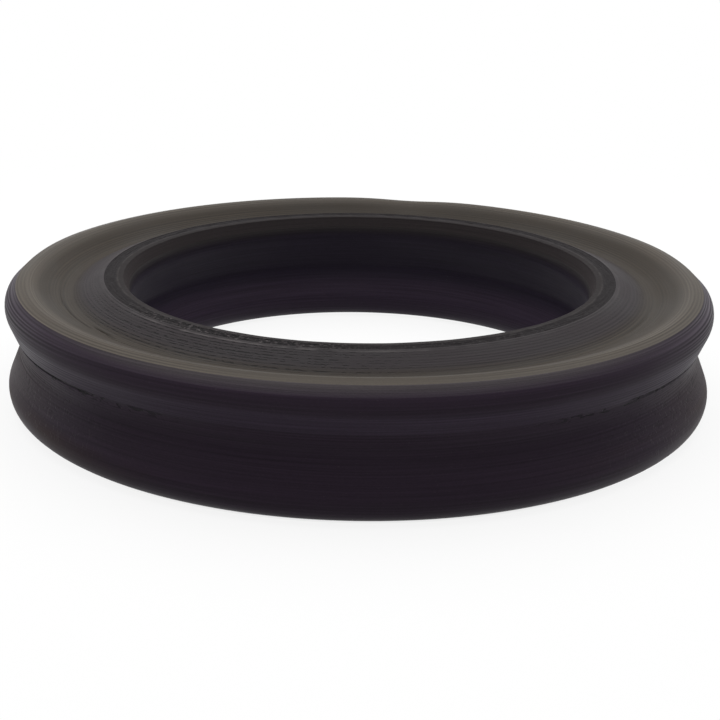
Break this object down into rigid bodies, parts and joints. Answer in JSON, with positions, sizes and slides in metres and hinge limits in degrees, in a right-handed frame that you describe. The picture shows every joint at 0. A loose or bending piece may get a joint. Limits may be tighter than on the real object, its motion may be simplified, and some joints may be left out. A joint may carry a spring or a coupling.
{
  "type": "x-ring",
  "caption": "Round rubber seal of four-lobed X section, with a shallow V groove between the lobes on each side and a plain round bore.",
  "frame": {"origin": "on the ring's axis, at the middle of its height", "axes": "+Z along the ring's axis, out of the face that has the lip at its bore; X and Y are across the ring"},
  "size_m": [0.0308, 0.0308, 0.0054],
  "materials": {
    "rubber": "matte black, lathe cut"
  },
  "bodies": {
    "root": {"x_ring": "rubber"}
  },
  "joints": []
}
